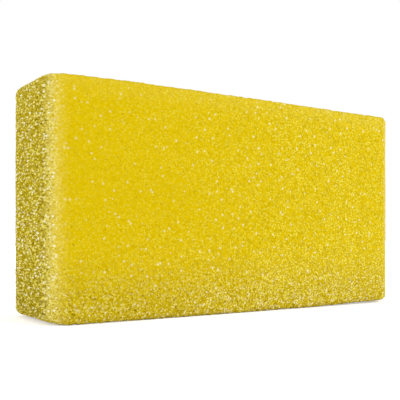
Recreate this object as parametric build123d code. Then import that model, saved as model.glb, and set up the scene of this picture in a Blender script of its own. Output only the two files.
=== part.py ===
from build123d import *
import os

# Cleaning sponge: one block of open-celled foam, cut to size, with every edge rounded off.
# It stands on one of its long narrow sides. Millimetres, +Z up, with the origin on the surface
# it stands on, under the middle of the block. X runs along the length, Y through the thickness
# and Z up the width.

# The block, measured across its flat faces
length = 198.0
thickness = 51.0
width = 102.0

# How far the edges are rounded off
upright_edge_radius = 12.0      # the four short edges, where the large faces meet the ends
top_edge_radius = 3.0           # the edges round the top side
foot_edge_radius = 3.0          # the edges round the side it stands on


def foam_block():
    """The whole sponge, as one solid."""
    block = Box(length, thickness, width, align=(Align.CENTER, Align.CENTER, Align.MIN))
    block = fillet(block.edges().filter_by(Axis.Z), upright_edge_radius)
    top_side = block.faces().sort_by(Axis.Z)[-1]
    block = fillet(top_side.edges(), top_edge_radius)
    foot_side = block.faces().sort_by(Axis.Z)[0]
    return fillet(foot_side.edges(), foot_edge_radius)


os.makedirs("parts", exist_ok=True)
export_step(foam_block(), "parts/foam_block.step")
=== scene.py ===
from math import radians

import bmesh
import bpy
import numpy as np
from bpy.props import FloatProperty, FloatVectorProperty, IntProperty, PointerProperty
from bpy.types import Operator, Panel, PropertyGroup
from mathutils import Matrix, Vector


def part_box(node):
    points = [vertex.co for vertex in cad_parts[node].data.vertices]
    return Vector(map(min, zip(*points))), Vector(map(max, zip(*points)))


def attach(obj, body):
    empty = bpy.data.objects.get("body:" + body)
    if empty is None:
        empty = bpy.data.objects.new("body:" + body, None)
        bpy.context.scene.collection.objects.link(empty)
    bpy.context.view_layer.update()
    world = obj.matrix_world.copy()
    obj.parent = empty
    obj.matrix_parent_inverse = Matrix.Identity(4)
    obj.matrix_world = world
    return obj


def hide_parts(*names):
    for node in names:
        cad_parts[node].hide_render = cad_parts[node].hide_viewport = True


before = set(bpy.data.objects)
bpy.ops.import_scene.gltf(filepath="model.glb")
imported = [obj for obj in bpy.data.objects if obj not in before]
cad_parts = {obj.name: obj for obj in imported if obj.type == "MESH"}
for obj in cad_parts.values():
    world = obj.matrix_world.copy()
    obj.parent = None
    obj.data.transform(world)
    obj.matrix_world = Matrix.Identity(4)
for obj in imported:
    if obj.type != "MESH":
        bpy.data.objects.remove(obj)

bl_info = {
    "name": "Cleaning Sponge",
    "version": (1, 0, 0),
    "blender": (4, 5, 0),
    "location": "3D View > Sidebar > Sponge",
    "description": "Models a block sponge of open-celled foam around its packed solid",
    "category": "Object",
}

LOW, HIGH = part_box("foam_block")      # the corners of the solid, in metres
SIZE = HIGH - LOW
MIDDLE = (LOW + HIGH) / 2


def seen(red, green, blue):
    """A colour given as it looks on a screen, 0 to 255 each, in the linear values that shaders use."""
    def linear(value):
        share = value / 255
        return share / 12.92 if share <= 0.04045 else ((share + 0.055) / 1.055) ** 2.4
    return (linear(red), linear(green), linear(blue))


# ---------------------------------------------------------------- where the foam changes

ALIGNED = 0.99                    # upright share of a direction, above which it counts as upright
SQUARE = 0.01                     # and below which it counts as level

# Each pair below is where a change starts and where it ends. Lengths are in metres.
LEFT_LIFT = (0.001, 0.009)        # the foot's lift, in from its -X end
RIGHT_LIFT = (0.010, 0.070)       # the foot's lift, in from its +X end
RIGHT_SHARE = 0.75                # the lift at the +X end, as a share of that at the -X end
LIFT_HEIGHT = (0.0, 0.030)        # how high up the sides the lift is felt
SUNK_REACH = (0.012, 0.038)       # the sunk top corner, out from the upright edge at -X and -Y
SUNK_HEIGHT = (0.050, SIZE.z)     # and up from the foot

STANDING = (0.3, 0.9)             # level share of the outward direction, from lying skin to standing skin
LYING = (0.3, 0.9)                # upright share of it, from standing skin to lying skin
SAWN_TURN = (20, 56)              # degrees away from facing along the block, over which sawn skin ends
SAWN_JITTER = 8                   # degrees by which single cells differ there
FOOT_EDGE = 0.002                 # height below which a large face is as open, and as darkly shaded in its painted colour, as it gets
HEIGHT_JITTER = 0.003             # height by which single cells differ there
LOW_OPEN_AND_SHADE = 0.5                    # openness of the large faces at their foot, with 1 for a sawn end: deeper cells, and painted shade in the colour
LOW_POWER = 1.5                   # above 1, the openness gathers close to the foot
TOP_OPEN = 0.1                    # openness of the top
FOOT_OPEN = 0.3                   # openness of the foot
DARK_HEIGHT = 0.035               # height over which painted shade darkens the sawn ends towards the foot
DARK_SHARE = 0.4                  # share of painted olive shade mixed in where they are darkest
DARK_POWER = 3.0                  # above 1, it keeps that off skin that is only part open

HIGHLIGHT_STARTS = (4, 43)             # degrees from facing along the block, over which the painted highlight band begins
HIGHLIGHT_ENDS = (38, 82)              # and over which it ends
HIGHLIGHT_JITTER = 5                   # degrees by which single cells differ there
TOP_HIGHLIGHT = (0.002, 0.012)         # the painted highlight strip, down from the top
TOP_PALE = 0.1                    # and how pale it is, with 1 for an upright edge
HIGHLIGHT_FILL = 0.7                   # share of a cell's depth taken away under the painted highlight band
DEPTH_SPREAD = (0.5, 1.5)         # least and most of a cell's depth, as a share of the usual
CLOSED_RAGGED = 0.2               # raggedness of the rims of closed foam, with 1 for sawn foam

FEWEST_FLECKS = 0.25              # density of the flecks at the -X end, with 1 for the most
MORE_ALONG = 0.65                 # what the length of the block adds to it
MORE_LOW = 0.35                   # what nearness to the foot adds to it
FLECKS_ALONG = (LOW.x + 0.009, HIGH.x - 0.039)      # places along the block
FLECKS_HEIGHT = (0.0, 0.06)       # up from the foot

# Patterns run from 0 to 1. Each pair is the value where a mark starts to show, and where it shows in full.
HOLLOW_SHOWS = (0.56, 0.34)       # the painted shade in the hollows
DEPTH_SHOWS = (0.65, 0.35)        # the painted olive shade in the cell depths, in the grain
HIGHLIGHT_SHOWS = (0.38, 0.62)         # the painted highlight band, in the grain
BLOTCH_SHOWS = (0.3, 0.7)         # the patches of stronger flecks
DEPTH_FROM_RIM = (1.0, 0.2)       # the painted olive shade in the cell depths, from 1 at a cell's rim to 0 at its middle
GLINT_CHANCE = (0.25, 0.75)       # the painted glints among their dots
TORN_CHANCE = (0.0, 0.6)          # the torn points, painted highlights, among their dots
SHINE_CHANCE = (0.55, 0.9)        # the torn points painted as bright glints among the rest
TORN_GAIN = 1.25                  # above 1, skin that isn't open all the way is torn all over too
FULL_DOT = 0.6                    # share of a dot's radius out to which it shows in full


# ---------------------------------------------------------------- sizes and colours


class FoamSettings(PropertyGroup):
    """The block of foam: its rounded edges, its cells and its colours."""
    upright_edge: FloatProperty(
        name="Upright edges", description="How far the four upright edges are rounded",
        default=0.014, min=0.001, unit="LENGTH")
    upright_profile: FloatProperty(
        name="Upright profile", description="Shape of that rounding: 0.5 is an arc, more is squarer",
        default=0.6, min=0.1, max=1.0)
    flat_edge: FloatProperty(
        name="Flat edges", description="How far the edges round the top and the foot are rounded",
        default=0.003, min=0.001, unit="LENGTH")
    waviness: FloatProperty(
        name="Waviness", description="Height of the slow waves that keep the sides from being dead flat",
        default=0.0005, min=0.0, unit="LENGTH")
    wave_length: FloatProperty(
        name="Wave length", description="Distance from one slow wave to the next, roughly",
        default=0.045, min=0.001, unit="LENGTH")
    foot_rise: FloatProperty(
        name="Foot rise", description="How far the foot lifts off the floor at its -X end",
        default=0.0014, min=0.0, unit="LENGTH")
    corner_drop: FloatProperty(
        name="Corner drop", description="How far the top has sunk at its most handled corner",
        default=0.0005, min=0.0, unit="LENGTH")
    cell_width: FloatProperty(
        name="Cell width", description="Usual distance from the middle of one foam cell to the next",
        default=0.00145, min=0.001, unit="LENGTH")
    cell_stretch: FloatProperty(
        name="Cell stretch", description="How many times longer the cells are across the block",
        default=2.0, min=1.0, max=3.0)
    unevenness: FloatProperty(
        name="Unevenness", description="How far cells stray from even rows, as a share of their width",
        default=0.55, min=0.0, max=1.0, subtype="FACTOR")
    large_cells: FloatProperty(
        name="Large cells", description="Share of the cells that have pushed their neighbours aside",
        default=0.12, min=0.0, max=0.4, subtype="FACTOR")
    swelling: FloatProperty(
        name="Swelling",
        description="How far a large cell pushes its neighbours, as a share of their distance",
        default=0.3, min=0.0, max=0.6, subtype="FACTOR")
    shallow: FloatProperty(
        name="Shallow cells", description="Depth of the cells on the two large faces",
        default=0.0002, min=0.0, unit="LENGTH")
    deep: FloatProperty(
        name="Deep cells", description="Depth of the cells on the sawn ends",
        default=0.0008, min=0.0, unit="LENGTH")
    ragged: FloatProperty(
        name="Ragged rims", description="How much the rims between sawn cells differ in height",
        default=0.0001, min=0.0, unit="LENGTH")
    # the foot band is deeper cells, and painted shade in the colour of the large faces
    foot_band: FloatProperty(
        name="Foot band", description="Height over which the large faces grow open towards the foot",
        default=0.036, min=0.001, unit="LENGTH")
    # the flecks are painted highlights, set in the colour and raised a little in the relief
    fine_flecks: FloatProperty(
        name="Fine flecks", description="Spacing of the pale flecks on the large faces",
        default=0.00102, min=0.0001, unit="LENGTH")
    # the glints are painted highlights, set in the colour
    glints: FloatProperty(
        name="Glints", description="Spacing of the rounder, brighter glints on the large faces",
        default=0.0038, min=0.0001, unit="LENGTH")
    # the torn points are painted highlights on the open foam
    torn_glints: FloatProperty(
        name="Torn points", description="Spacing of the bright torn points where the foam was sawn",
        default=0.00112, min=0.0001, unit="LENGTH")
    grain: FloatProperty(
        name="Grain", description="Size of the finest light and dark in the cells and the worn edges",
        default=0.0007, min=0.0001, unit="LENGTH")
    # the hollows are painted shade in the colour, and bumps in the relief
    hollows: FloatProperty(
        name="Hollows", description="Size of the darker hollows on the large faces",
        default=0.0011, min=0.0001, unit="LENGTH")
    hollow_slant: FloatProperty(
        name="Hollow slant", description="How far the hollows lean as they run up the large faces",
        default=radians(-30), subtype="ANGLE")
    blotches: FloatProperty(
        name="Blotches", description="Size of the patches in which the flecks are a little stronger",
        default=0.035, min=0.001, unit="LENGTH")
    bump_height: FloatProperty(
        name="Bump height", description="Height of the relief that is finer than the cells",
        default=0.00015, min=0.0, unit="LENGTH")
    seed: IntProperty(name="Seed", description="Changes where the cells fall", default=7, min=0)
    golden: FloatVectorProperty(
        name="Closed foam", description="The even yellow of the large faces",
        default=seen(220, 190, 0), size=3, subtype="COLOR", min=0.0, max=1.0)
    # painted highlight: the faint sparkle of the large faces
    fleck_highlight: FloatVectorProperty(
        name="Flecks", description="The paler flecks on the large faces",
        default=seen(247, 235, 96), size=3, subtype="COLOR", min=0.0, max=1.0)
    # painted shade: the darker yellow in the shallow hollows
    painted_hollow_shade: FloatVectorProperty(
        name="Hollow shade", description="The darker yellow in the shallow hollows of the large faces",
        default=seen(201, 173, 0), size=3, subtype="COLOR", min=0.0, max=1.0)
    # the sawn foam's own darker yellow, deepened by painted shade; near the foot of the large faces it
    # stands in for shade
    moss_and_shade: FloatVectorProperty(
        name="Sawn foam", description="The yellow between the bright points where the foam was sawn",
        default=seen(188, 164, 4), size=3, subtype="COLOR", min=0.0, max=1.0)
    # painted shade: the dark in the deep cells and towards the foot of the sawn ends
    painted_olive_shade: FloatVectorProperty(
        name="Cell depth shade", description="The bottom of the deep cells",
        default=seen(134, 116, 2), size=3, subtype="COLOR", min=0.0, max=1.0)
    # painted highlight: the pale band along the rounded edges and under the top, and the torn points
    rim_highlight: FloatVectorProperty(
        name="Rims", description="The cell rims where the foam is sawn or rounded off",
        default=seen(246, 229, 128), size=3, subtype="COLOR", min=0.0, max=1.0)
    # painted highlight: the glints and the shiny torn points, cream in the colour where the foam would
    # catch the light
    painted_glint: FloatVectorProperty(
        name="Painted glints", description="The torn skins and glints that catch the light",
        default=seen(255, 248, 214), size=3, subtype="COLOR", min=0.0, max=1.0)


class StageSettings(PropertyGroup):
    """The floor, the lamps and the camera."""
    floor_colour: FloatVectorProperty(
        name="Floor", description="Colour of the floor",
        default=(0.93, 0.93, 0.93), size=3, subtype="COLOR", min=0.0, max=1.0)
    floor_size: FloatProperty(
        name="Floor size", description="Length of each side of the floor",
        default=6.0, min=0.5, unit="LENGTH")
    floor_lift: FloatProperty(
        name="Floor lift",
        description="White added to the floor where it is looked at, so that it meets the white beyond",
        default=0.45, min=0.0, max=1.0)
    shadow_reach: FloatProperty(
        name="Shadow reach", description="Distance from the block over which the floor keeps its shadow",
        default=0.30, min=0.01, unit="LENGTH")
    sky: FloatProperty(
        name="Sky light", description="Strength of the even light from all round",
        default=0.65, min=0.0)
    key_place: FloatVectorProperty(
        name="Key lamp", description="Where the key lamp hangs, in front and to the right",
        default=(0.50, -0.90, 0.60), size=3, subtype="TRANSLATION", unit="LENGTH")
    key_size: FloatProperty(
        name="Key lamp size", description="Length of each side of the key lamp",
        default=0.6, min=0.01, unit="LENGTH")
    key_power: FloatProperty(
        name="Key lamp power", description="Power of the key lamp, in watts", default=5.4, min=0.0)
    left_place: FloatVectorProperty(
        name="Left lamp", description="Where the lamp that lights the sawn end hangs",
        default=(-1.0, -0.1, 0.45), size=3, subtype="TRANSLATION", unit="LENGTH")
    left_size: FloatProperty(
        name="Left lamp size", description="Length of each side of the left lamp",
        default=0.35, min=0.01, unit="LENGTH")
    left_power: FloatProperty(
        name="Left lamp power", description="Power of the left lamp, in watts", default=2.4, min=0.0)
    lens: FloatProperty(
        name="Lens", description="Focal length for a frame 36 mm wide, in millimetres",
        default=58.94, min=1.0)
    camera_place: FloatVectorProperty(
        name="Camera", description="Where the camera stands",
        default=(-0.18673, -0.27277, 0.03483), size=3, subtype="TRANSLATION", unit="LENGTH")
    camera_turn: FloatProperty(
        name="Camera turn", description="How far the camera looks to the right of the +Y direction",
        default=radians(32.64), subtype="ANGLE")
    camera_rise: FloatProperty(
        name="Camera rise", description="How far the view is shifted up, as a share of the frame",
        default=0.0973)


# ---------------------------------------------------------------- small helpers


def select_none():
    """Leaves object mode with nothing selected."""
    if bpy.context.object and bpy.context.object.mode != "OBJECT":
        bpy.ops.object.mode_set(mode="OBJECT")
    bpy.ops.object.select_all(action="DESELECT")


def smoothstep(value, start, end):
    """0 before start, 1 after end, and an easy curve between."""
    share = np.clip((value - start) / (end - start), 0, 1)
    return share * share * (3 - 2 * share)


def fade(value, start, end):
    """1 before start, 0 after end, and an easy curve between."""
    return 1 - smoothstep(value, start, end)


def read(collection, name, width, kind=np.float64):
    """One property of every item of a mesh, as rows of an array."""
    values = np.empty(len(collection) * width, kind)
    collection.foreach_get(name, values)
    return values.reshape(-1, width) if width > 1 else values


# ---------------------------------------------------------------- the block of foam


def rounded_blank(foam):
    """The block before its cells are opened: a cube cut to size, its edges rounded off."""
    select_none()
    bpy.ops.mesh.primitive_cube_add(size=1, location=MIDDLE, scale=SIZE)
    blank = bpy.context.object
    bpy.ops.object.transform_apply(location=True, rotation=True, scale=True)
    round_edges(blank, upright_edges, foam.upright_edge, steps=12, profile=foam.upright_profile)
    round_edges(blank, level_rims, foam.flat_edge, steps=6, profile=0.5)
    return blank


def wave(block, foam):
    """Gives the sides slow waves, as soft foam has where it was sawn and handled."""
    texture = bpy.data.textures.new("slow_waves", "CLOUDS")
    texture.noise_scale = foam.wave_length
    waves = block.modifiers.new("slow_waves", "DISPLACE")
    waves.texture = texture
    waves.texture_coords = "LOCAL"
    waves.mid_level = 0.5
    waves.strength = foam.waviness
    bpy.ops.object.modifier_apply(modifier=waves.name)


def ease_corners(mesh, foam):
    """Lifts the two ends of the foot a little, and sinks the top at one corner."""
    places = read(mesh.vertices, "co", 3)
    from_left, from_front, height = (places - np.array(LOW)).T
    lifted = fade(from_left, *LEFT_LIFT) + RIGHT_SHARE * fade(SIZE.x - from_left, *RIGHT_LIFT)
    handled = fade(np.hypot(from_left, from_front), *SUNK_REACH)
    rise = foam.foot_rise * lifted * fade(height, *LIFT_HEIGHT)
    drop = foam.corner_drop * handled * smoothstep(height, *SUNK_HEIGHT)
    places[:, 2] += rise - drop
    mesh.vertices.foreach_set("co", places.ravel())
    mesh.update()


def upright_edges(edge):
    """The four edges that stand up from the foot."""
    start, end = (v.co for v in edge.verts)
    return abs((end - start).normalized().z) > ALIGNED


def level_rims(edge):
    """The edges round the flat top and the flat foot."""
    ends = [abs(face.normal.z) for face in edge.link_faces]
    return max(ends) > ALIGNED and min(ends) < SQUARE


def round_edges(piece, wanted, width, steps, profile):
    """Bevels the edges of a piece that the function wanted picks."""
    bpy.ops.object.mode_set(mode="EDIT")
    bpy.ops.mesh.select_mode(type="EDGE")
    bpy.ops.mesh.select_all(action="DESELECT")
    mesh = bmesh.from_edit_mesh(piece.data)
    for edge in mesh.edges:
        edge.select_set(wanted(edge))
    bmesh.update_edit_mesh(piece.data)
    bpy.ops.mesh.bevel(offset=width, segments=steps, profile=profile, clamp_overlap=True)
    bpy.ops.object.mode_set(mode="OBJECT")


def cell_net(blank, foam, draw):
    """Turns the blank's skin into an uneven net of triangles, with a corner at the middle of each cell."""
    squeeze(blank.data, 1 / foam.cell_stretch)
    blank.data.remesh_voxel_size = foam.cell_width
    blank.data.remesh_voxel_adaptivity = 0
    bpy.ops.object.voxel_remesh()
    stray_corners(blank.data, foam.unevenness * foam.cell_width, draw)
    even_triangles(blank.data)
    settle_corners(blank.data, times=2)
    swell_cells(blank.data, foam, draw)
    even_triangles(blank.data)
    squeeze(blank.data, foam.cell_stretch)


def squeeze(mesh, share):
    """Scales a mesh across the block, the way the foam rose."""
    places = read(mesh.vertices, "co", 3)
    places[:, 1] *= share
    mesh.vertices.foreach_set("co", places.ravel())
    mesh.update()


def even_triangles(mesh):
    """Splits every face into triangles, and turns their edges until they are as even as they can be."""
    net = bmesh.new()
    net.from_mesh(mesh)
    bmesh.ops.triangulate(net, faces=net.faces)
    bmesh.ops.beautify_fill(net, faces=net.faces, edges=net.edges, method="ANGLE")
    net.to_mesh(mesh)
    net.free()


def shift_corners(mesh, step):
    """Moves the corners of a mesh by the part of each step that lies along its skin."""
    outward = read(mesh.vertices, "normal", 3)
    step = step - outward * (step * outward).sum(1, keepdims=True)
    mesh.vertices.foreach_set("co", (read(mesh.vertices, "co", 3) + step).ravel())
    mesh.update()


def stray_corners(mesh, reach, draw):
    """Moves each corner a random way along the skin."""
    shift_corners(mesh, draw.uniform(-reach, reach, (len(mesh.vertices), 3)))


def settle_corners(mesh, times):
    """Eases each corner half-way to the middle of its neighbours, so that no cell is pinched."""
    edges = read(mesh.edges, "vertices", 2, np.int32)
    for _ in range(times):
        places = read(mesh.vertices, "co", 3)
        total = np.zeros_like(places)
        count = np.zeros(len(places))
        for here, there in (edges.T, edges.T[::-1]):
            np.add.at(total, here, places[there])
            np.add.at(count, here, 1)
        shift_corners(mesh, 0.5 * (total / count[:, None] - places))


def swell_cells(mesh, foam, draw):
    """Lets a few cells grow large and push their neighbours aside."""
    edges = read(mesh.edges, "vertices", 2, np.int32)
    places = read(mesh.vertices, "co", 3)
    large = draw.random(len(places)) < foam.large_cells
    step = np.zeros_like(places)
    for middle, beside in (edges.T, edges.T[::-1]):
        push = foam.swelling * (places[beside] - places[middle]) * large[middle][:, None]
        np.add.at(step, beside, push)
    shift_corners(mesh, step)


def turn(outward):
    """Which way the skin faces, level: 0 degrees along the block, 90 across it."""
    return np.degrees(np.arctan2(np.abs(outward[:, 1]), np.abs(outward[:, 0])))


def standing(outward):
    """1 where the skin stands upright, and 0 where it lies level, as on the top and the foot."""
    return smoothstep(np.hypot(outward[:, 0], outward[:, 1]), *STANDING)


def openness(places, outward, foam, draw):
    """How open and torn the foam is: little on the large faces, more near their foot, most where sawn.
    Open foam gets deeper cells and painted shade in its colour; near the foot of the large faces that
    stands in for shade.
    """
    jitter = draw.uniform(-1, 1, len(places))
    height = places[:, 2] - LOW.z + HEIGHT_JITTER * jitter
    ends = fade(turn(outward) + SAWN_JITTER * jitter, *SAWN_TURN) * standing(outward)
    narrow = smoothstep(np.abs(outward[:, 2]), *LYING) * np.where(outward[:, 2] > 0, TOP_OPEN, FOOT_OPEN)
    low = fade(height, FOOT_EDGE, foam.foot_band)
    return np.clip(np.max([ends, narrow, LOW_OPEN_AND_SHADE * low ** LOW_POWER], axis=0), 0, 1)


def paleness(places, outward, draw):
    """How strong the painted highlight is: along the four rounded upright edges, and faintly just under
    the top.
    """
    angle = turn(outward) + draw.uniform(-HIGHLIGHT_JITTER, HIGHLIGHT_JITTER, len(places))
    edges = smoothstep(angle, *HIGHLIGHT_STARTS) * fade(angle, *HIGHLIGHT_ENDS) * standing(outward)
    top = fade(HIGH.z - places[:, 2], *TOP_HIGHLIGHT)
    return np.maximum(edges, TOP_PALE * top)


def fleckiness(places, outward):
    """How thickly the pale flecks lie: thin at the -X end of the large faces, thick at +X and the foot."""
    along = smoothstep(places[:, 0], *FLECKS_ALONG)
    low = fade(places[:, 2] - LOW.z, *FLECKS_HEIGHT)
    large_face = FEWEST_FLECKS + MORE_ALONG * along + MORE_LOW * low
    sawn = fade(turn(outward), *SAWN_TURN)
    return np.clip(np.maximum(large_face, sawn), 0, 1)


def cell_walls(corners, cells):
    """Triangles from each cell's middle to the rims round it, as rows of the cell and two rims.

    The points are numbered cells first, and then one rim for each triangle of the net.
    """
    # Each edge of the net runs from one cell to the next, with a triangle of the net on either side.
    face = np.repeat(np.arange(len(corners)), 3)
    start, end = corners.ravel(), np.roll(corners, -1, axis=1).ravel()
    there = np.lexsort((end, start))
    back = np.lexsort((start, end))
    other = np.empty_like(face)
    other[there] = face[back]
    return np.column_stack([start, cells + other, cells + face])


def open_cells(blank, foam, draw):
    """Hollows a pit at every corner of the net, with walls up to rims it shares with its neighbours."""
    net = blank.data
    middles = read(net.vertices, "co", 3)
    outward = read(net.vertices, "normal", 3)
    corners = read(net.loops, "vertex_index", 1, np.int32).reshape(-1, 3)
    rims = middles[corners].mean(1)
    rim_outward = outward[corners].mean(1)
    rim_outward /= np.linalg.norm(rim_outward, axis=1, keepdims=True)

    open_share = openness(middles, outward, foam, draw)
    highlight = paleness(middles, outward, draw)
    depth = foam.shallow + (foam.deep - foam.shallow) * open_share * (1 - HIGHLIGHT_FILL * highlight)
    depth *= draw.uniform(*DEPTH_SPREAD, len(middles))
    rim_share = openness(rims, rim_outward, foam, draw)
    ragged = foam.ragged * (CLOSED_RAGGED + (1 - CLOSED_RAGGED) * rim_share)
    lift = ragged * np.clip(draw.normal(0, 1, len(rims)), -2, 2)
    points = np.vstack([middles - outward * depth[:, None], rims + rim_outward * lift[:, None]])
    points[:, 2] = np.maximum(points[:, 2], LOW.z)      # nothing reaches below what the block stands on

    walls = cell_walls(corners, len(middles))
    mesh = bpy.data.meshes.new("foam_block_cells")
    mesh.from_pydata(points.tolist(), [], walls.tolist())
    mesh.validate()
    if len(mesh.polygons) != len(walls):
        raise RuntimeError("the foam's net of cells has walls that don't close")

    mark(mesh, "cell_rim", np.repeat([0.0, 1.0], [len(middles), len(rims)]))
    mark(mesh, "foam_open", np.concatenate([open_share, rim_share]))
    mark(mesh, "foam_highlight", np.concatenate([highlight, paleness(rims, rim_outward, draw)]))
    flecks = np.concatenate([fleckiness(middles, outward), fleckiness(rims, rim_outward)])
    mark(mesh, "foam_flecks", flecks)
    lay_flat(mesh, outward[walls[:, 0]])
    blank.data = mesh
    bpy.data.meshes.remove(net)


def mark(mesh, name, values):
    """Stores one number for every point of a mesh, for its material to read."""
    mesh.attributes.new(name, "FLOAT", "POINT").data.foreach_set("value", values.astype(np.float32))


def lay_flat(mesh, outward):
    """Maps each wall straight onto the side of the block its cell faces, the six sides laid out apart."""
    gap = 0.004      # between neighbouring sides
    length, thickness, width = SIZE
    side = np.abs(outward).argmax(1)
    back = outward[np.arange(len(outward)), side] > 0
    across = np.array([1, 0, 0])[side]      # the axes that run across and up the sides facing X, Y and Z
    along = np.array([2, 2, 1])[side]
    tall = 2 * (width + thickness) + 4 * gap
    left = np.where(side == 0, length + gap, 0.0)
    foot = np.where(side == 2, 2 * (width + gap) + back * (thickness + gap), back * (width + gap))
    layer = mesh.uv_layers.new(name="OFBake")
    points = read(mesh.vertices, "co", 3)
    corners = read(mesh.loops, "vertex_index", 1, np.int32).reshape(-1, 3)
    rows = np.arange(len(corners))[:, None]
    spot = points[corners] - np.array(LOW)
    u = spot[rows, np.arange(3), across[:, None]] + left[:, None] + gap / 2
    v = spot[rows, np.arange(3), along[:, None]] + foot[:, None] + gap / 2
    layer.data.foreach_set("uv", (np.stack([u, v], axis=2) / tall).ravel())


class NodeTray:
    """Adds shader nodes to a material and wires them up."""

    def __init__(self, name):
        self.material = bpy.data.materials.new(name)
        self.material.use_nodes = True
        self.tree = self.material.node_tree
        self.shader = self.tree.nodes["Principled BSDF"]

    def add(self, kind, **settings):
        """Adds one node with its settings."""
        node = self.tree.nodes.new("ShaderNode" + kind)
        for key, value in settings.items():
            setattr(node, key, value)
        return node

    def feed(self, socket, value):
        """Links an output to a socket, or sets the socket to a plain value."""
        if isinstance(value, bpy.types.NodeSocket):
            self.tree.links.new(value, socket)
        else:
            socket.default_value = value

    def attribute(self, name):
        """A number stored for every point of the mesh."""
        return self.add("Attribute", attribute_name=name).outputs["Fac"]

    def math(self, operation, *values):
        """One sum, whose values are sockets or plain numbers."""
        node = self.add("Math", operation=operation)
        for socket, value in zip(node.inputs, values):
            self.feed(socket, value)
        return node.outputs[0]

    def ramp(self, value, start, end, low=0.0, high=1.0):
        """Takes value from start..end to low..high on an easy curve, and holds it outside."""
        node = self.add("MapRange", interpolation_type="SMOOTHSTEP")
        for socket, number in zip(node.inputs, (value, start, end, low, high)):
            self.feed(socket, number)
        return node.outputs[0]

    def blend(self, share, first, second):
        """A colour between two colours, each of them a socket or three plain values."""
        node = self.add("Mix", data_type="RGBA")
        self.feed(node.inputs[0], share)
        for socket, colour in zip(node.inputs[6:8], (first, second)):      # the node's colour sockets
            plain = not isinstance(colour, bpy.types.NodeSocket)
            self.feed(socket, (*colour, 1) if plain else colour)
        return node.outputs[2]

    def mapping(self, place, kind, scale, rotation=(0, 0, 0)):
        """The place, stretched and turned, for a pattern to read."""
        node = self.add("Mapping", vector_type=kind)
        self.feed(node.inputs["Vector"], place)
        self.feed(node.inputs["Scale"], scale)
        self.feed(node.inputs["Rotation"], rotation)
        return node.outputs[0]

    def noise(self, place, spacing, detail=2.0, roughness=0.5):
        """Soft light and dark at random, from 0 to 1, with patches of about the given size."""
        node = self.add("TexNoise")
        self.feed(node.inputs["Vector"], place)
        node.inputs["Scale"].default_value = 1 / spacing
        node.inputs["Detail"].default_value = detail
        node.inputs["Roughness"].default_value = roughness
        return node.outputs["Fac"]

    def dots(self, place, spacing, radius):
        """Round dots strewn at random: how far into a dot a point lies, and two numbers drawn for it.

        The radius is a share of the spacing.
        """
        node = self.add("TexVoronoi")
        self.feed(node.inputs["Vector"], place)
        node.inputs["Scale"].default_value = 1 / spacing
        drawn = self.add("SeparateColor")
        self.feed(drawn.inputs[0], node.outputs["Color"])
        inside = self.ramp(node.outputs["Distance"], radius, FULL_DOT * radius)
        return inside, drawn.outputs[0], drawn.outputs[1]


def ground_colour(tray, foam, place, skin, grain, hollow):
    """Golden foam on the large faces, with painted shade in the hollows; mossy foam where it was sawn, its
    own colour darkened by painted shade, with painted olive shade in the cell depths and towards the foot;
    a painted straw highlight along the rounded edges and under the top.
    """
    # painted shade in the hollows of the large faces
    darker = tray.math("MULTIPLY", tray.ramp(hollow, *HOLLOW_SHOWS), skin["flecks"])
    colour = tray.blend(darker, foam.golden, foam.painted_hollow_shade)
    # the sawn foam's own colour with painted shade, strongest where the foam is open and near the foot
    colour = tray.blend(skin["open"], colour, foam.moss_and_shade)
    # painted shade in the cell depths where the foam is open
    inside = tray.ramp(skin["rim"], *DEPTH_FROM_RIM)
    depth = tray.math("MULTIPLY", inside, tray.ramp(grain, *DEPTH_SHOWS))
    colour = tray.blend(tray.math("MULTIPLY", depth, skin["open"]), colour, foam.painted_olive_shade)

    up = tray.add("SeparateXYZ")
    tray.feed(up.inputs[0], place)
    # painted shade towards the foot of the sawn ends
    low = tray.ramp(up.outputs[2], LOW.z + DARK_HEIGHT, LOW.z, low=0.0, high=DARK_SHARE)
    foot_shade = tray.math("MULTIPLY", tray.math("POWER", skin["open"], DARK_POWER), low)
    colour = tray.blend(foot_shade, colour, foam.painted_olive_shade)

    # painted highlight along the rounded upright edges and under the top
    edge_highlight = tray.math("MULTIPLY", skin["highlight"], tray.ramp(grain, *HIGHLIGHT_SHOWS, low=0.05, high=0.85))
    return tray.blend(edge_highlight, colour, foam.rim_highlight)


def pale_flecks(tray, foam, colour, place, cells, skin):
    """Adds fine pale flecks, painted highlights of a faint sparkle. Returns the colour, the flecks, and
    rounder painted glints set further apart.
    """
    blotch = tray.noise(place, foam.blotches)
    fleck, luck, _ = tray.dots(cells, foam.fine_flecks, radius=0.54)
    paler = tray.math("MULTIPLY", fleck, tray.ramp(luck, 0.0, 1.0, low=0.2, high=1.0))
    paler = tray.math("MULTIPLY", paler, tray.ramp(blotch, *BLOTCH_SHOWS, low=0.7, high=1.0))
    paler = tray.math("MULTIPLY", paler, skin["flecks"])
    # painted highlight: rounder glints, set further apart
    glint, _, chance = tray.dots(cells, foam.glints, radius=0.18)
    glint = tray.math("MULTIPLY", glint, tray.ramp(chance, *GLINT_CHANCE))
    glint = tray.math("MULTIPLY", glint, tray.ramp(skin["flecks"], 0.0, 0.8, low=0.2, high=0.6))
    return tray.blend(paler, colour, foam.fleck_highlight), paler, glint


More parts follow.
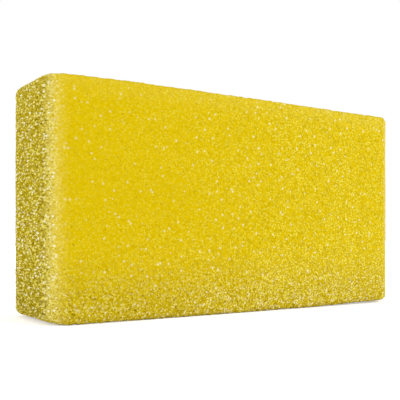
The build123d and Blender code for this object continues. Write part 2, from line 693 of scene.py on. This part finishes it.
def paint_torn_glints(tray, foam, colour, cells, skin):
    """Adds torn points, painted highlights where the foam is open and in the painted highlight band.
    Returns the colour, the points, and the shiny few.
    """
    point, luck, chance = tray.dots(cells, foam.torn_glints, radius=0.5)
    open_or_highlight = tray.math("MAXIMUM", skin["open"], skin["highlight"])
    rough = tray.math("MULTIPLY", open_or_highlight, tray.math("MAXIMUM", skin["flecks"], skin["highlight"]))
    rough = tray.math("MINIMUM", tray.math("MULTIPLY", rough, TORN_GAIN), 1.0)
    # painted highlight: the torn points
    torn = tray.math("MULTIPLY", point, rough)
    torn = tray.math("MULTIPLY", torn, tray.ramp(luck, *TORN_CHANCE, low=0.1, high=1.0))
    # painted highlight: the shiny few of the torn points
    sparkle = tray.math("MULTIPLY", torn, tray.ramp(chance, *SHINE_CHANCE))
    return tray.blend(torn, colour, foam.rim_highlight), torn, sparkle


def foam_material(foam):
    """Open-celled foam: even yellow with pale flecks, mossy with bright torn points where it is open. The
    flecks, glints and torn points are painted highlights; the darker hollows, cell depths and foot carry
    painted shade.
    """
    tray = NodeTray("yellow_foam")
    place = tray.add("TexCoord").outputs["Object"]
    cells = tray.mapping(place, "POINT", (1, 1 / foam.cell_stretch, 1))
    slanted = tray.mapping(place, "TEXTURE", (1, foam.cell_stretch, 1.8), (0, foam.hollow_slant, 0))
    skin = {
        "rim": tray.attribute("cell_rim"),
        "open": tray.attribute("foam_open"),
        "highlight": tray.attribute("foam_highlight"),
        "flecks": tray.attribute("foam_flecks"),
    }
    grain = tray.noise(cells, foam.grain, detail=2.0, roughness=0.7)
    hollow = tray.noise(slanted, foam.hollows, detail=1.0, roughness=0.6)

    colour = ground_colour(tray, foam, place, skin, grain, hollow)
    colour, paler, glint = pale_flecks(tray, foam, colour, place, cells, skin)
    colour, torn, sparkle = paint_torn_glints(tray, foam, colour, cells, skin)
    # painted highlights: the glints and the shiny torn points, mixed in as cream, with lower roughness
    # there
    bright = tray.math("MAXIMUM", glint, sparkle)
    tray.feed(tray.shader.inputs["Base Color"], tray.blend(bright, colour, foam.painted_glint))
    tray.feed(tray.shader.inputs["Roughness"], tray.ramp(bright, 0.0, 1.0, low=0.85, high=0.4))
    tray.shader.inputs["Specular IOR Level"].default_value = 0.03

    bump = tray.add("Bump")
    bump.inputs["Strength"].default_value = 0.5
    bump.inputs["Distance"].default_value = foam.bump_height
    relief = tray.math("ADD", tray.math("MAXIMUM", paler, torn), hollow)
    tray.feed(bump.inputs["Height"], relief)
    tray.feed(tray.shader.inputs["Normal"], bump.outputs["Normal"])
    return tray.material


class SPONGE_OT_foam_block(Operator):
    """Model the sponge: a rounded block with its foam cells open all over"""
    bl_idname = "sponge.foam_block"
    bl_label = "Foam Block"

    def execute(self, context):
        foam = context.scene.sponge_foam
        draw = np.random.default_rng(foam.seed)
        block = rounded_blank(foam)
        cell_net(block, foam, draw)
        wave(block, foam)
        ease_corners(block.data, foam)
        open_cells(block, foam, draw)
        block.name = block.data.name = "sponge_foam"
        block.data.materials.append(foam_material(foam))
        select_none()
        block.select_set(True)
        context.view_layer.objects.active = block
        bpy.ops.object.shade_smooth_by_angle(angle=radians(50))
        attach(block, "root")
        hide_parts("foam_block")
        return {"FINISHED"}


# ---------------------------------------------------------------- the stage


def seen_rays(tree):
    """1 for rays that look at a thing, straight, mirrored or through glass, and 0 for the others."""
    rays = tree.nodes.new("ShaderNodeLightPath")
    total = rays.outputs["Is Camera Ray"]
    for name in ("Is Glossy Ray", "Is Transmission Ray"):
        adder = tree.nodes.new("ShaderNodeMath")
        adder.operation = "MAXIMUM"
        tree.links.new(total, adder.inputs[0])
        tree.links.new(rays.outputs[name], adder.inputs[1])
        total = adder.outputs[0]
    return total


def floor_material(stage):
    """A pale floor that looks white, keeps the shadow near the block, and meets the white beyond."""
    tray = NodeTray("pale_floor")
    place = tray.add("TexCoord").outputs["Object"]
    distance = tray.add("VectorMath", operation="LENGTH")
    tray.feed(distance.inputs[0], place)
    far = tray.ramp(distance.outputs["Value"], stage.shadow_reach, 3 * stage.shadow_reach)
    tray.shader.inputs["Base Color"].default_value = (*stage.floor_colour, 1)
    tray.shader.inputs["Roughness"].default_value = 1.0
    tray.shader.inputs["Specular IOR Level"].default_value = 0.0
    tray.shader.inputs["Emission Color"].default_value = (1, 1, 1, 1)
    whiteness = tray.ramp(far, 0.0, 1.0, low=stage.floor_lift, high=1.0)
    lift = tray.math("MULTIPLY", seen_rays(tray.tree), whiteness)
    tray.feed(tray.shader.inputs["Emission Strength"], lift)
    return tray.material


def soft_lamp(name, place, size, power):
    """A square area lamp that faces the middle of the block."""
    lamp = bpy.data.objects.new(name, bpy.data.lights.new(name, "AREA"))
    bpy.context.scene.collection.objects.link(lamp)
    lamp.data.size = size
    lamp.data.energy = power
    lamp.location = place
    lamp.rotation_euler = (MIDDLE - Vector(place)).to_track_quat("-Z", "Y").to_euler()


def white_world(stage):
    """Even white light from all round, and plain white where the eye sees past the floor."""
    world = bpy.data.worlds.new("studio")
    world.use_nodes = True
    tree = world.node_tree
    shader = tree.nodes["Background"]
    strength = tree.nodes.new("ShaderNodeMapRange")
    strength.inputs["To Min"].default_value = stage.sky
    strength.inputs["To Max"].default_value = 1.0
    shader.inputs["Color"].default_value = (1, 1, 1, 1)
    tree.links.new(seen_rays(tree), strength.inputs["Value"])
    tree.links.new(strength.outputs[0], shader.inputs["Strength"])
    bpy.context.scene.world = world


def studio_camera(stage):
    """A level camera, with its view shifted up to frame the block."""
    view = bpy.data.cameras.new("view")
    view.lens = stage.lens
    view.sensor_width = 36.0
    view.shift_y = stage.camera_rise
    view.clip_start = 0.01
    camera = bpy.data.objects.new("view", view)
    bpy.context.scene.collection.objects.link(camera)
    camera.location = stage.camera_place
    camera.rotation_euler = (radians(90), 0, -stage.camera_turn)
    bpy.context.scene.camera = camera


class SPONGE_OT_stage(Operator):
    """Set the pale floor, the soft lamps and the camera"""
    bl_idname = "sponge.stage"
    bl_label = "Stage"

    def execute(self, context):
        stage = context.scene.sponge_stage
        select_none()
        bpy.ops.mesh.primitive_plane_add(size=stage.floor_size)
        floor = context.object
        floor.name = floor.data.name = "stage_floor"
        floor.data.materials.append(floor_material(stage))
        white_world(stage)
        soft_lamp("key_lamp", stage.key_place, stage.key_size, stage.key_power)
        soft_lamp("left_lamp", stage.left_place, stage.left_size, stage.left_power)
        studio_camera(stage)
        context.scene.view_settings.view_transform = "Standard"
        return {"FINISHED"}


# ---------------------------------------------------------------- the add-on


class SPONGE_PT_panel(Panel):
    """The sponge's sizes and colours, and the buttons that make it."""
    bl_idname = "SPONGE_PT_panel"
    bl_label = "Cleaning Sponge"
    bl_space_type = "VIEW_3D"
    bl_region_type = "UI"
    bl_category = "Sponge"

    def draw(self, context):
        for settings, operator in (
                (context.scene.sponge_foam, SPONGE_OT_foam_block),
                (context.scene.sponge_stage, SPONGE_OT_stage)):
            box = self.layout.box()
            for name in settings.bl_rna.properties.keys():
                if name not in ("rna_type", "name"):
                    box.prop(settings, name)
            box.operator(operator.bl_idname)


CLASSES = (FoamSettings, StageSettings, SPONGE_OT_foam_block, SPONGE_OT_stage, SPONGE_PT_panel)


def register():
    for cls in CLASSES:
        bpy.utils.register_class(cls)
    bpy.types.Scene.sponge_foam = PointerProperty(type=FoamSettings)
    bpy.types.Scene.sponge_stage = PointerProperty(type=StageSettings)


def unregister():
    del bpy.types.Scene.sponge_stage
    del bpy.types.Scene.sponge_foam
    for cls in reversed(CLASSES):
        bpy.utils.unregister_class(cls)


def main():
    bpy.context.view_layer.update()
    register()
    bpy.ops.sponge.foam_block()
    bpy.ops.sponge.stage()


if __name__ == "__main__":
    main()
